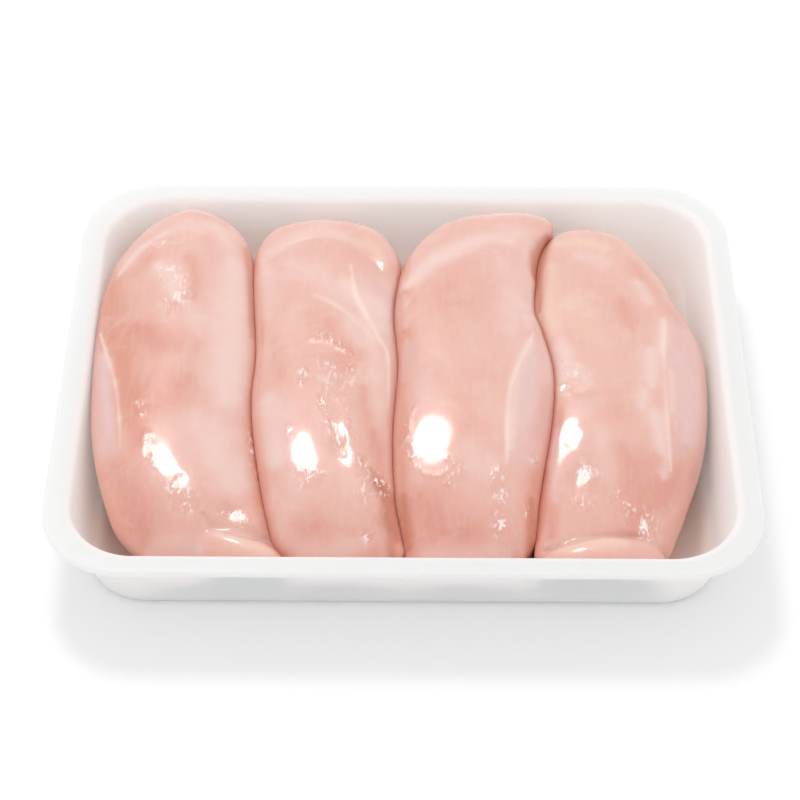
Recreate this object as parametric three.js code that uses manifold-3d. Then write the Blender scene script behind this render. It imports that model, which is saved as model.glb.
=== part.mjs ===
// An open foam tray with four raw chicken breast fillets lying side by side in it.
// Millimetres, +Z up. X runs across the fillets, Y from the pack's front to its back.
// The origin is the centre of the tray's base, on the surface that the tray stands on.
import * as THREE from "three";
import { mergeVertices } from "three/addons/utils/BufferGeometryUtils.js";
import Module from "manifold-3d";

const wasm = await Module();
wasm.setup();

// Driving dimensions of the tray
const TRAY_WIDTH = 267;
const TRAY_DEPTH = 211;
const TRAY_HEIGHT = 35.5;
const WALL = 3.5;
const RIM_RADIUS = 31; // of the rim's outline at its corners
const BASE_RADIUS = 22; // of the base's outline at its corners
const BASE_INSET = 16; // from the rim's outline to the base's
const RIM_FLAT = 6; // width of the rim's level top
const RIM_THICKNESS = 2.8;
const RIM_EDGE_RADIUS = 1;
const RIM_INNER_RADIUS = 4; // where the rim turns down into the tray
const RIM_CHAMFER = 0.8; // between the rim's underside and the wall
const FLOOR_RADIUS = 9; // where the wall turns into the floor, inside
const FOOT_RADIUS = 4; // where the wall turns into the base, outside
const LEAN_DEGREES = 14.5; // of the wall, outwards from upright
const WALL_LEAN = THREE.MathUtils.degToRad(LEAN_DEGREES);
const CORNER_STEPS = 8;

// Driving dimensions that the fillets share
const GAP = 0.3; // left between a fillet and what it touches
const TAIL_STEP = 0.4; // a tail stands this much farther out than its fillet, at the tray
const WIDEST_SHARE = 0.62; // height of the widest place, as a share of the fillet's height
const END_POWER = 1.85; // how blunt that rounding is, where 2 is an ellipse
const SHOULDER_POWER = 2.9; // how boxy a section's upper part is
const UNDERSIDE_POWER = 2.6; // and its lower part
const RIDGE_FADE = 9; // length over which a ridge fades in from its ends
const RINGS = 40;
const SEGMENTS = 30;
const TAIL_SEGMENTS = [24, 14]; // round a tail and along it

// Where neighbouring fillets meet, as [y, x] from front to back. The first and the last are
// the outer sides of the outer fillets.
const SIDE_1 = [
  [-92, -99.5], [-72, -109.5], [-46, -117.5], [-15, -121.5], [35, -122.5], [60, -118.5], [92, -112],
];
const CREASE_12 = [
  [-92, -42], [-79, -49], [-51, -55], [-20, -58.8], [8, -58.4], [49, -61.5], [70, -61.5], [92, -62],
];
const CREASE_23 = [
  [-92, -3.5], [-67, -4], [-41, -4.2], [0, -2.4], [29, -4], [58, -1.2], [92, 0],
];
const CREASE_34 = [
  [-92, 48.5], [-65, 50.8], [-28, 57], [-4, 58.4], [19, 54.6], [30, 52], [48, 53.2], [66, 58], [80, 65], [92, 68],
];
const SIDE_4 = [
  [-92, 96], [-62, 108], [-35, 117], [-5, 120.6], [16, 119.8], [30, 115.5], [42, 110.5], [54, 107.5], [92, 100],
];

// Each fillet: its two sides, the tips of its two ends with the lengths over which the left
// side, the right side and the top round into them, the height and the place of its crest, as
// [y, height] and [y, share of the width from the left], and the ridges and hollows that run
// along its top: a line as [y, x], how far it stands up, and half its width.
const FILLETS = [
  {
    name: "fillet_1",
    left: SIDE_1,
    right: CREASE_12,
    front: { x: -76, y: -92.5, z: 14, left: 20, right: 12, drop: 10 },
    back: { x: -90, y: 94, z: 26, left: 42, right: 42, drop: 15 },
    height: [[-92, 28], [-55, 33], [-10, 37.5], [50, 40], [94, 39.5]],
    crest: [[-92, 0.5], [-20, 0.5], [40, 0.52], [94, 0.5]],
    ridges: [
      { line: [[-60, -103], [-46, -106.8], [-24, -111.5], [28, -117]], rise: 1.8, half: 4 },
      { line: [[-75, -84], [-61, -80], [-30, -86], [20, -92], [60, -96]], rise: 1.2, half: 9 },
    ],
  },
  {
    name: "fillet_2",
    left: CREASE_12,
    right: CREASE_23,
    front: { x: -28, y: -92.5, z: 14, left: 10, right: 34, drop: 10 },
    back: { x: -32, y: 89, z: 25, left: 28, right: 38, drop: 15 },
    height: [[-92, 28], [-55, 33], [-10, 38], [45, 39.5], [89, 39]],
    crest: [[-92, 0.45], [-20, 0.45], [40, 0.5], [89, 0.45]],
    ridges: [
      { line: [[-14, -7.5], [0, -9], [13, -11], [33, -16], [52, -23]], rise: 1.6, half: 4 },
      { line: [[-88, -14], [-70, -14], [-50, -17], [-30, -22]], rise: 1.8, half: 5 },
      { line: [[48, -6], [58, -7], [66, -10], [78, -16]], rise: 1.8, half: 4 },
    ],
  },
  {
    name: "fillet_3",
    left: CREASE_23,
    right: CREASE_34,
    front: { x: 24, y: -92.5, z: 14, left: 18, right: 26, drop: 10 },
    back: { x: 45, y: 92.5, z: 26, left: 44, right: 14, drop: 15 },
    height: [[-92, 28], [-55, 34], [-10, 39], [50, 41], [92, 40]],
    crest: [[-92, 0.5], [-20, 0.45], [40, 0.48], [92, 0.6]],
    ridges: [
      { line: [[-88, 38], [-66, 36.5], [-40, 39], [-11, 41], [3, 45], [20, 50]], rise: 1.6, half: 4.5 },
    ],
  },
  {
    name: "fillet_4",
    left: CREASE_34,
    right: SIDE_4,
    front: { x: 73, y: -92.5, z: 14, left: 14, right: 16, drop: 10 },
    back: { x: 77, y: 86, z: 22, left: 22, right: 42, drop: 14 },
    height: [[-92, 27], [-55, 32], [-10, 37.5], [40, 38], [85, 36.5]],
    crest: [[-92, 0.5], [-20, 0.42], [40, 0.4], [85, 0.35]],
    ridges: [
      { line: [[-60, 101], [-33, 102], [6, 102.5], [30, 102], [50, 98]], rise: 1.8, half: 4.5 },
    ],
  },
];

// The thin tails that are folded under the front ends and show as a lobe in front of the fold:
// the lobe's centre, its half sizes, and its turn about the vertical.
const TAILS = {
  fillet_1: { at: [-64, -84, 18], half: [25, 11, 12.5], turn: -27 },
  fillet_4: { at: [73, -87, 17], half: [25, 11, 13], turn: 7 },
};

// A smooth value at x through [x, value] points: a cubic whose slopes are those between neighbours.
function along(points, x) {
  const last = points.length - 1;
  if (x <= points[0][0]) return points[0][1];
  if (x >= points[last][0]) return points[last][1];
  const i = points.findIndex((p) => p[0] > x) - 1;
  const slope = (k) => {
    const a = points[Math.max(k - 1, 0)];
    const b = points[Math.min(k + 1, last)];
    return (b[1] - a[1]) / (b[0] - a[0]);
  };
  const [x0, y0] = points[i];
  const [x1, y1] = points[i + 1];
  const width = x1 - x0;
  const t = (x - x0) / width;
  const t2 = t * t;
  const t3 = t2 * t;
  return (
    (2 * t3 - 3 * t2 + 1) * y0 +
    (t3 - 2 * t2 + t) * width * slope(i) +
    (3 * t2 - 2 * t3) * y1 +
    (t3 - t2) * width * slope(i + 1)
  );
}

// A closed surface from rings of points, with a single point at each end.
function loft(startPoint, rings, endPoint) {
  const count = rings[0].length;
  const positions = [...startPoint, ...rings.flat().flat(), ...endPoint];
  const index = [];
  const at = (ring, k) => 1 + ring * count + (k % count);
  const end = 1 + rings.length * count;
  for (let k = 0; k < count; k++) {
    index.push(0, at(0, k + 1), at(0, k));
    for (let r = 0; r + 1 < rings.length; r++) {
      index.push(at(r, k), at(r, k + 1), at(r + 1, k + 1));
      index.push(at(r, k), at(r + 1, k + 1), at(r + 1, k));
    }
    index.push(at(rings.length - 1, k), at(rings.length - 1, k + 1), end);
  }
  const geometry = new THREE.BufferGeometry();
  geometry.setAttribute("position", new THREE.Float32BufferAttribute(positions, 3));
  geometry.setIndex(index);
  return geometry;
}

// The outline of the tray at some inset from its rim's outline: half sizes and corner radius.
function trayOutline(inset) {
  return {
    x: TRAY_WIDTH / 2 - inset,
    y: TRAY_DEPTH / 2 - inset,
    radius: RIM_RADIUS - (inset * (RIM_RADIUS - BASE_RADIUS)) / BASE_INSET,
  };
}

// The points of that outline, counterclockwise, at height z.
function outlineRing(inset, z) {
  const { x, y, radius } = trayOutline(inset);
  const ring = [];
  [[1, 1], [-1, 1], [-1, -1], [1, -1]].forEach(([sx, sy], corner) => {
    for (let k = 0; k <= CORNER_STEPS; k++) {
      const angle = ((corner + k / CORNER_STEPS) * Math.PI) / 2;
      ring.push([
        sx * (x - radius) + radius * Math.cos(angle),
        sy * (y - radius) + radius * Math.sin(angle),
        z,
      ]);
    }
  });
  return ring;
}

// Points [inset, z] of an arc about a centre, both ends included.
function arc([inset, z], radius, fromDegrees, toDegrees, steps) {
  return Array.from({ length: steps + 1 }, (_, k) => {
    const angle = THREE.MathUtils.degToRad(fromDegrees + ((toDegrees - fromDegrees) * k) / steps);
    return [inset + radius * Math.cos(angle), z + radius * Math.sin(angle)];
  });
}

// The inner wall's inset at height z: a leaning line that starts where the rim's rounding ends.
function innerInset(z) {
  const topInset = RIM_FLAT + RIM_INNER_RADIUS * Math.cos(WALL_LEAN);
  const topHeight = TRAY_HEIGHT - RIM_INNER_RADIUS * (1 - Math.sin(WALL_LEAN));
  return topInset + (topHeight - z) * Math.tan(WALL_LEAN);
}

// The tray's section from the middle of its base, round the rim, to the middle of its floor.
function traySection() {
  const wallShift = WALL / Math.cos(WALL_LEAN);
  const outerInset = (z) => innerInset(z) - wallShift;
  const rimUnder = TRAY_HEIGHT - RIM_THICKNESS;
  const footInset = outerInset(FOOT_RADIUS) + FOOT_RADIUS / Math.cos(WALL_LEAN);
  const floorCentre = WALL + FLOOR_RADIUS;
  const floorInset = innerInset(floorCentre) + FLOOR_RADIUS / Math.cos(WALL_LEAN);
  return [
    ...arc([footInset, FOOT_RADIUS], FOOT_RADIUS, 270, 180 + LEAN_DEGREES, 4),
    [outerInset(rimUnder - RIM_CHAMFER), rimUnder - RIM_CHAMFER],
    [outerInset(rimUnder) - RIM_CHAMFER, rimUnder],
    ...arc([RIM_EDGE_RADIUS, rimUnder + RIM_EDGE_RADIUS], RIM_EDGE_RADIUS, 270, 180, 2),
    ...arc([RIM_EDGE_RADIUS, TRAY_HEIGHT - RIM_EDGE_RADIUS], RIM_EDGE_RADIUS, 180, 90, 3),
    ...arc([RIM_FLAT, TRAY_HEIGHT - RIM_INNER_RADIUS], RIM_INNER_RADIUS, 90, LEAN_DEGREES, 5),
    ...arc([floorInset, floorCentre], FLOOR_RADIUS, 180 + LEAN_DEGREES, 270, 5),
  ];
}

function trayGeometry() {
  const rings = traySection().map(([inset, z]) => outlineRing(inset, z));
  return loft([0, 0, 0], rings, [0, 0, WALL]);
}

// Moves a point that is in or beyond the tray's wall to just inside it, with a gap.
function pressedByTray([x, y, z], gap) {
  const floorCentre = WALL + FLOOR_RADIUS;
  let inset = innerInset(Math.min(z, TRAY_HEIGHT)) + gap;
  if (z < floorCentre) {
    const depth = Math.min(floorCentre - z, FLOOR_RADIUS);
    const reach = FLOOR_RADIUS / Math.cos(WALL_LEAN) - Math.sqrt(FLOOR_RADIUS ** 2 - depth ** 2);
    inset = Math.max(inset, innerInset(floorCentre) + reach + gap);
  }
  const room = trayOutline(inset);
  const cx = Math.max(Math.abs(x) - (room.x - room.radius), 0);
  const cy = Math.max(Math.abs(y) - (room.y - room.radius), 0);
  const out = Math.hypot(cx, cy);
  if (out <= room.radius) return [x, y, z];
  const keep = room.radius / out;
  return [
    cx > 0 ? Math.sign(x) * (room.x - room.radius + cx * keep) : x,
    cy > 0 ? Math.sign(y) * (room.y - room.radius + cy * keep) : y,
    z,
  ];
}

// How much of a size is left at a distance from an end that rounds over some length, from 0 at
// the end to 1 beyond that length.
function rounded(distance, length) {
  const share = Math.max(1 - distance / length, 0);
  return (1 - share ** END_POWER) ** (1 / END_POWER);
}

// How far the ridges raise a fillet's top at x, y.
function relief({ ridges }, x, y) {
  return ridges.reduce((sum, { line, rise, half }) => {
    const inside = Math.min(y - line[0][0], line[line.length - 1][0] - y) / RIDGE_FADE;
    const fade = THREE.MathUtils.smoothstep(inside, 0, 1);
    return sum + rise * fade * Math.exp(-(((x - along(line, y)) / half) ** 2));
  }, 0);
}

// One ring of a fillet at y: a rounded box that lies on the floor, fills the width between the
// neighbours, and is highest at its crest.
function filletRing(fillet, y) {
  const middle = (fillet.front.y + fillet.back.y) / 2;
  const end = y < middle ? fillet.front : fillet.back;
  const distance = Math.abs(end.y - y);
  const grow = (from, to, length) => from + (to - from) * rounded(distance, length);
  const height = along(fillet.height, y);
  const left = grow(end.x, along(fillet.left, y) + GAP, end.left);
  const right = grow(end.x, along(fillet.right, y) - GAP, end.right);
  const top = grow(end.z, height, end.drop);
  const bottom = grow(end.z, WALL + GAP, end.drop);
  const waist = grow(end.z, WIDEST_SHARE * height, end.drop);
  const crest = left + (right - left) * along(fillet.crest, y);
  const ring = [];
  for (let k = 0; k < SEGMENTS; k++) {
    const angle = -(k / SEGMENTS) * 2 * Math.PI;
    const c = Math.cos(angle);
    const s = Math.sin(angle);
    const power = s > 0 ? SHOULDER_POWER : UNDERSIDE_POWER;
    const reach = (Math.abs(c) ** power + Math.abs(s) ** power) ** (-1 / power);
    const x = crest + reach * c * (c > 0 ? right - crest : crest - left);
    const z = waist + reach * s * (s > 0 ? top - waist : waist - bottom);
    ring.push([x, y, z + Math.max(s, 0) * relief(fillet, x, y)]);
  }
  return ring;
}

function filletGeometry(fillet) {
  const middle = (fillet.front.y + fillet.back.y) / 2;
  const half = (fillet.back.y - fillet.front.y) / 2;
  const rings = [];
  for (let r = 1; r < RINGS; r++) {
    const y = middle - half * Math.cos((r / RINGS) * Math.PI);
    rings.push(filletRing(fillet, y).map((point) => pressedByTray(point, GAP + TAIL_STEP)));
  }
  const tip = (end) => pressedByTray([end.x, end.y, end.z], GAP + TAIL_STEP);
  return loft(tip(fillet.front), rings, tip(fillet.back));
}

function tailGeometry(fillet, { at, half, turn }) {
  const geometry = new THREE.SphereGeometry(1, ...TAIL_SEGMENTS);
  geometry.scale(...half);
  geometry.rotateZ(THREE.MathUtils.degToRad(turn));
  geometry.translate(...at);
  const position = geometry.getAttribute("position");
  for (let k = 0; k < position.count; k++) {
    const point = [position.getX(k), position.getY(k), position.getZ(k)];
    const [x, y, z] = pressedByTray(point, GAP);
    const lowest = along(fillet.left, y) + GAP + TAIL_STEP;
    const highest = along(fillet.right, y) - GAP - TAIL_STEP;
    position.setXYZ(k, THREE.MathUtils.clamp(x, lowest, highest), y, z);
  }
  return geometry;
}

function solidOf(geometry) {
  const bare = geometry.clone();
  bare.deleteAttribute("normal");
  bare.deleteAttribute("uv");
  const merged = mergeVertices(bare, 1e-4);
  return new wasm.Manifold(
    new wasm.Mesh({
      numProp: 3,
      vertProperties: merged.getAttribute("position").array,
      triVerts: new Uint32Array(merged.index.array),
    }),
  );
}

function geometryOf(solid) {
  const mesh = solid.getMesh();
  const geometry = new THREE.BufferGeometry();
  geometry.setAttribute("position", new THREE.BufferAttribute(mesh.vertProperties, 3));
  geometry.setIndex(new THREE.BufferAttribute(mesh.triVerts, 1));
  geometry.computeVertexNormals();
  return geometry;
}

function filletWithTail(fillet) {
  const body = solidOf(filletGeometry(fillet));
  const tail = TAILS[fillet.name];
  return geometryOf(tail ? body.add(solidOf(tailGeometry(fillet, tail))) : body);
}

const foam = new THREE.MeshStandardMaterial({ color: 0xf4f4f3, roughness: 0.55, metalness: 0 });
const meat = new THREE.MeshStandardMaterial({ color: 0xe8b5a6, roughness: 0.25, metalness: 0 });

const pack = new THREE.Group();

const tray = new THREE.Mesh(trayGeometry(), foam);
tray.name = "tray";
pack.add(tray);

for (const fillet of FILLETS) {
  const piece = new THREE.Mesh(filletWithTail(fillet), meat);
  piece.name = fillet.name;
  pack.add(piece);
}

export default pack;
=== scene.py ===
# Looks of an open foam tray with four raw chicken breast fillets, laid out as an add-on.
# Metres, +Z up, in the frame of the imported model. Shapes are worked out in millimetres.
import math

import bmesh
import bpy
import numpy as np
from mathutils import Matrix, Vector


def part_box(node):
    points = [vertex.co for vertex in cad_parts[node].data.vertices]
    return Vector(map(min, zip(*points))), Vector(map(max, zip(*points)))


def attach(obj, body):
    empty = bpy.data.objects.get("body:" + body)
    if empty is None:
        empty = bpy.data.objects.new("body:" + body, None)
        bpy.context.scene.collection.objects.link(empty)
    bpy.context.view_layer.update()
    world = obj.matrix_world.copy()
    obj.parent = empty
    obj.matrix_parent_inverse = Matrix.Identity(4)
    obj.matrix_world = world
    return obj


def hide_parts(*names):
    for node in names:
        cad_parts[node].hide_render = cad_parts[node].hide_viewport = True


bl_info = {
    "name": "Meat Tray Pack",
    "version": (1, 0, 0),
    "blender": (4, 5, 0),
    "location": "3D View > Sidebar > Meat Tray",
    "description": "Models a foam tray with four raw chicken breast fillets",
    "category": "Object",
}

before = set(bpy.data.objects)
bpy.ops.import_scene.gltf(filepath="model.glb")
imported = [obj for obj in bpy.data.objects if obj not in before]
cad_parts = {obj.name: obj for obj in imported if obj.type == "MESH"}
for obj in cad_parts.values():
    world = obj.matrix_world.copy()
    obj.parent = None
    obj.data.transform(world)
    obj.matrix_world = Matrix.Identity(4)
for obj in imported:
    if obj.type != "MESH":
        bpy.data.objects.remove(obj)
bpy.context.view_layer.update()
MM = 0.001

# The tray, in millimetres
TRAY_LOW, TRAY_HIGH = (np.array(corner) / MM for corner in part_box("tray"))
TRAY_HALF = (TRAY_HIGH - TRAY_LOW)[:2] / 2
TRAY_HEIGHT = TRAY_HIGH[2]
WALL = 3.5
RIM_RADIUS = 31.0
BASE_RADIUS = 22.0
BASE_INSET = 16.0
RIM_FLAT = 6.0
RIM_THICKNESS = 2.8
RIM_EDGE_RADIUS = 1.0
RIM_INNER_RADIUS = 4.0
RIM_CHAMFER = 0.8
FLOOR_RADIUS = 9.0
FOOT_RADIUS = 2.6
LEAN = math.radians(14.5)
CORNER_STEPS = 22
SIDE_STEPS = 6
SMOOTH_ANGLE = math.radians(40)

# The fillets: the gaps to their neighbours, the wall and a tail's sides, in millimetres
GAP = 0.3
WALL_GAP = 0.7
TAIL_STEP = 0.4
# A fillet's section: the height of its widest place as a share of the top's, how quickly the
# top leans from the crest to either side, and the powers that round its tips, its shoulders
# and its underside
WIDEST_SHARE = 0.81
CREST_BLEND = 0.35
END_POWER = 1.85
SHOULDER_POWER = 5.5
UNDERSIDE_POWER = 2.6
# Its mesh: the balls that it is shaped from, and the size of the remeshed cells
BODY_SEGMENTS, BODY_RINGS = 128, 200
TAIL_SEGMENTS, TAIL_RINGS = 96, 64
VOXEL = 0.8
# Its relief, in millimetres: a rise and a size for each kind of unevenness
SWELLS = ((0.24, 26.0), (0.07, 11.0))
FOLDS = (0.3, 3.4)
WRINKLES = (0.16, 1.6)
SIDE_SWELL = 0.55
TENDON_RISE = 0.2
CRINKLE = 0.35
RIDGE_FADE = 9.0
# How far its colours reach, in millimetres, and how much they show on the outer sides; the darker
# colour beside the creases is painted shade
CREASE_REACH = 4.5
HOLLOW_TOP, HOLLOW_DEPTH = 38.5, 7.0
OUTER_HOLLOW = 0.4
FACET_EDGE = 2.5
FACET_FADE = 14.0

# Where neighbouring fillets meet, as (y, x) from front to back
SIDE_1 = (
    (-92, -99.5), (-72, -109.5), (-46, -117.5), (-15, -121.5), (35, -122.5), (60, -118.5), (92, -112),
)
CREASE_12 = (
    (-92, -42), (-79, -49), (-51, -55), (-20, -58.8), (8, -58.4), (49, -61.5), (70, -61.5), (92, -62),
)
CREASE_23 = (
    (-92, 2.5), (-78, -0.6), (-64, -3.2), (-41, -4.2), (0, -2.4), (29, -4), (58, -1.2), (92, 0),
)
CREASE_34 = (
    (-92, 48.5), (-65, 50.8), (-28, 57), (-4, 58.4), (19, 54.6), (30, 52), (48, 53), (60, 54.6),
    (68, 57), (76, 60.5), (92, 64),
)
SIDE_4 = (
    (-92, 95), (-62, 106.8), (-35, 115.6), (-5, 119.4), (16, 118.8), (30, 114.8), (42, 110),
    (54, 107.5), (92, 100),
)

# Each fillet: its sides; its front and back tip as x, y, z with the lengths over which the
# left side, the right side and the top round into it; its height and the place of its crest
# along y; how far its top drops from the crest to its sides; where the right side is widest,
# as a share of the height, with the power that shapes its shoulder; its broad ridges as a line
# of (y, x), a rise and half a width; its folded tail as a centre, half sizes and a turn in
# degrees.
FILLETS = {
    "fillet_1": {
        "sides": (SIDE_1, CREASE_12),
        "front": ((-76, -92.5, 14), (20, 9, 10)),
        "back": ((-90, 94, 26), (42, 42, 15)),
        "height": (
            (-92, 21), (-83, 28), (-74, 33), (-64, 35.9), (-53, 37.4), (-40, 38.4), (-25, 38.8),
            (50, 40), (94, 39.5),
        ),
        "crest": ((-92, 0.5), (-68, 0.46), (-42, 0.34), (-10, 0.42), (40, 0.5), (94, 0.5)),
        "crown": 7.5,
        "ridges": (
            (((-60, -103), (-46, -106.8), (-24, -111.5), (28, -117)), 0.4, 4),
            (((-75, -84), (-61, -80), (-30, -86), (20, -92), (60, -96)), 0.5, 9),
        ),
        "tail": ((-64, -84, 18), (25, 11, 12.5), -27),
    },
    "fillet_2": {
        "sides": (CREASE_12, CREASE_23),
        "front": ((-28, -92.5, 14), (9, 10, 10)),
        "back": ((-32, 89, 25), (28, 38, 15)),
        "height": (
            (-92, 21), (-84, 26.5), (-73, 31.8), (-63, 35), (-51, 37.2), (-26, 38.6), (45, 39.5),
            (89, 39),
        ),
        "crown": 3.9,
        "crest": ((-92, 0.45), (-45, 0.43), (-20, 0.43), (40, 0.5), (89, 0.45)),
        "ridges": (
            (((-14, -7.5), (0, -9), (13, -11), (33, -16), (52, -23)), 0.9, 4),
            (((-88, -14), (-70, -14), (-50, -17), (-30, -22)), 1.0, 5),
            (((48, -6), (58, -7), (66, -10), (78, -16)), 1.8, 4),
        ),
        "tail": None,
    },
    "fillet_3": {
        "sides": (CREASE_23, CREASE_34),
        "front": ((24, -92.5, 14), (8, 15, 10)),
        "back": ((45, 92.5, 26), (44, 14, 15)),
        "height": (
            (-92, 21), (-78, 28.6), (-62, 34), (-45, 37.4), (-29, 39.2), (-8, 40.1), (50, 41),
            (92, 40),
        ),
        "crown": 3.4,
        "crest": ((-92, 0.5), (-62, 0.5), (-35, 0.48), (0, 0.48), (40, 0.5), (92, 0.6)),
        "ridges": (
            (((-88, 38), (-66, 36.5), (-40, 39), (-11, 41), (3, 45), (20, 50)), 0.4, 6),
        ),
        "tail": None,
    },
    "fillet_4": {
        "sides": (CREASE_34, SIDE_4),
        "front": ((73, -92.5, 14), (8, 16, 10)),
        "back": ((77, 86, 22), (15, 42, 14)),
        "height": (
            (-92, 22), (-75, 27.5), (-55, 32.5), (-40, 35.6), (-25, 37.2), (0, 38), (40, 38),
            (85, 36.5),
        ),
        "crest": ((-92, 0.42), (-60, 0.3), (-35, 0.3), (0, 0.33), (40, 0.4), (85, 0.35)),
        "crown": 2.0,
        "right_flank": (0.55, 3.4),
        "ridges": (
            (((-60, 101), (-33, 102), (6, 102.5), (30, 102), (50, 98)), 0.9, 4.5),
        ),
        "tail": ((73, -87, 17), (25, 11, 13), 7),
    },
}

# What shows on the fillets' tops, as strokes: a line of (x, y), half a width, and a strength
# or, for the grooves, how far the surface goes in.
TENDON = {
    "fillet_1": (
        (((-121, 17), (-117, 4), (-112, -13), (-109, -30), (-107, -47)), 0.8, 0.9),
    ),
    "fillet_2": (
        (((-22, 52), (-20, 37), (-15, 24), (-10, 12), (-6.6, 4), (-6, -10), (-6, -24)), 1.0, 1),
        (((-37, 35), (-28, 29), (-18, 18)), 0.8, 0.4),
    ),
    "fillet_3": (
        (((51, 15), (48, 5), (44, -6), (41, -17), (40, -31), (39, -52)), 0.9, 0.9),
    ),
    "fillet_4": (
        (((104, 26), (102, 5), (101, -15), (101, -34), (101, -51)), 0.8, 0.8),
    ),
}
GROOVE = {
    "fillet_1": (
        (((-74, -75), (-70, -79), (-57, -82), (-50, -80)), 1.9, -1),
        (((-104, 62), (-96, 64), (-84, 66), (-74, 64)), 1.5, -0.2),
    ),
    "fillet_2": (
        (((-15, -51), (-11, -61), (-6, -68), (-4, -89)), 3.1, -1.6),
        (((-33, -21), (-28, -35), (-22, -50)), 1.2, -0.25),
        (((-56, 56), (-47, 64), (-35, 68), (-25, 66)), 1.5, -0.3),
        (((-23, 71), (-20, 61), (-13, 55), (-8, 47)), 1.5, -0.35),
    ),
    "fillet_3": (
        (((1, 29), (10, 44), (20, 55), (30, 60), (37, 57)), 1.9, -0.4),
        (((57, 70), (54, 62), (52.5, 50)), 2.6, -0.7),
    ),
    "fillet_4": (
        (((53, -84), (63, -83), (73, -80), (88, -78)), 1.5, -1.2),
        (((63, 51), (74, 47), (86, 49)), 2.4, -0.16),
        (((62, 60), (74, 57), (88, 60)), 2.2, -0.18),
        (((76, -16), (66, -17)), 1.5, -0.2),
    ),
}
# Mostly pale membrane; some strokes are painted light: the strips along the front ends stand for light
# thrown back by the tray's front wall, and fillet_1's patch near (-95, 42) is a painted sheen
PALE_AND_PAINTED_SHEEN = {
    "fillet_1": (
        (((-94, -85), (-75, -87)), 3.9, 0.7),
        (((-70, 55), (-68, 16), (-69, -20)), 10, 0.9),
        (((-71, -35), (-64, -62)), 8.5, 0.55),
        (((-80, -29), (-72, -52)), 6.9, 0.6),
        (((-86, 29), (-82, 14)), 3.9, 0.5),
        (((-116, 50), (-109, 63), (-99, 71)), 1.9, 0.8),
        (((-99, 70), (-89, 74), (-78, 73), (-71, 63)), 4.6, 0.6),
        (((-100, 51), (-94, 44), (-92, 33)), 5.4, 1),
        (((-98, 29), (-95, 19)), 1.9, 0.5),
        (((-103, 65), (-91, 64)), 1.5, 0.6),
        (((-86, 8), (-89, -2)), 5.4, 0.3),
    ),
    "fillet_2": (
        (((-38, -86), (-27, -87), (-14, -84)), 3.9, 0.7),
        (((-58, 58), (-54, 24)), 4.6, 0.4),
        (((-52, -19), (-48, -52)), 4.6, 0.5),
        (((-56, 61), (-47, 68), (-35, 73), (-25, 69)), 4.6, 0.7),
        (((-47, 54), (-34, 46), (-30, 37)), 6.2, 0.5),
        (((-14, 16), (-10, -4), (-11, -33)), 4.6, 0.5),
        (((-24, 40), (-15, 29), (-10, 18)), 6.9, 0.8),
        (((-22, 18), (-17, 8)), 4.6, 0.6),
        (((-36, 34), (-24, 26), (-12, 11)), 1.5, 0.7),
        (((-14, 33), (-7, 27)), 3.9, 0.8),
        (((-39, -58), (-40, -67)), 5.4, 0.3),
    ),
    "fillet_3": (
        (((8, -86), (21, -87), (38, -85)), 3.9, 0.7),
        (((1, 41), (10, 52), (22, 61), (35, 67), (43, 65)), 4.6, 0.9),
        (((39, 53), (44, 39), (42, 15)), 6.2, 0.5),
        (((20, 25), (26, 9)), 5.4, 0.3),
        (((39, 73), (51, 66)), 5.4, 0.5),
        (((49, 62), (51, 39), (49, 18)), 3.1, 0.5),
        (((1, 18), (0, 35)), 2.3, 0.4),
        (((25, -45), (29, -58)), 5.4, 0.35),
        (((50, 10), (45, -4), (42, -22), (40, -45)), 2.7, 0.8),
    ),
    "fillet_4": (
        (((103, 24), (101, 5)), 2.7, 1),
        (((97, 6), (96, -12)), 4.6, 0.9),
        (((93, -15), (92, -24)), 3.5, 0.8),
        (((96, -26), (98, -43)), 4.6, 0.9),
        (((94, 45), (98, 33)), 3.5, 0.7),
        (((104, -5), (103, -25)), 2.3, 0.7),
        (((70, 60), (83, 56)), 4.6, 0.5),
        (((66, -28), (76, -20)), 5.4, 0.4),
        (((100, -45), (98, -54)), 2.3, 0.6),
        (((67, -2), (72, -12)), 3.9, 0.8),
        (((75, -34), (78, -57)), 5.4, 0.4),
        (((62, 11), (62, -3), (62, -16)), 4.6, 0.6),
    ),
}
CREAM = {
    "fillet_1": (
        (((-69, -82), (-56, -87), (-48, -88)), 3.1, 0.9),
        (((-83, 77), (-72, 72)), 3.1, 0.5),
    ),
    "fillet_2": (
        (((-23, 68), (-14, 63), (-8, 53)), 3.1, 0.6),
    ),
    "fillet_3": (
        (((47, 71), (58, 72)), 3.1, 0.5),
    ),
    "fillet_4": (
        (((63, 68), (72, 69), (82, 65)), 4.6, 0.9),
        (((60, 54), (58, 36), (59, 16)), 4.6, 0.6),
        (((66, 34), (77, 11)), 9.3, 0.4),
        (((58, -87), (69, -86), (82, -85)), 3.5, 0.9),
    ),
}
LILAC = {
    "fillet_1": (
        (((-119, 5), (-115, -19), (-112, -39)), 3.1, 0.9),
        (((-72, -30), (-66, -38)), 4.6, 0.4),
    ),
    "fillet_2": (
        (((-50, -20), (-45, -35), (-47, -52)), 5.4, 0.5),
        (((-28, 40), (-24, 32)), 3.9, 0.3),
    ),
    "fillet_3": (
        (((1, 10), (0, -10)), 2.7, 0.5),
        (((8, -11), (10, -21)), 4.6, 0.3),
        (((50, 1), (48, -15), (45, -35)), 3.9, 1),
    ),
    "fillet_4": (
        (((108, 7), (110, -18), (109, -36)), 4.6, 0.8),
        (((58, -34), (57, -64)), 3.1, 0.5),
    ),
}
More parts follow.
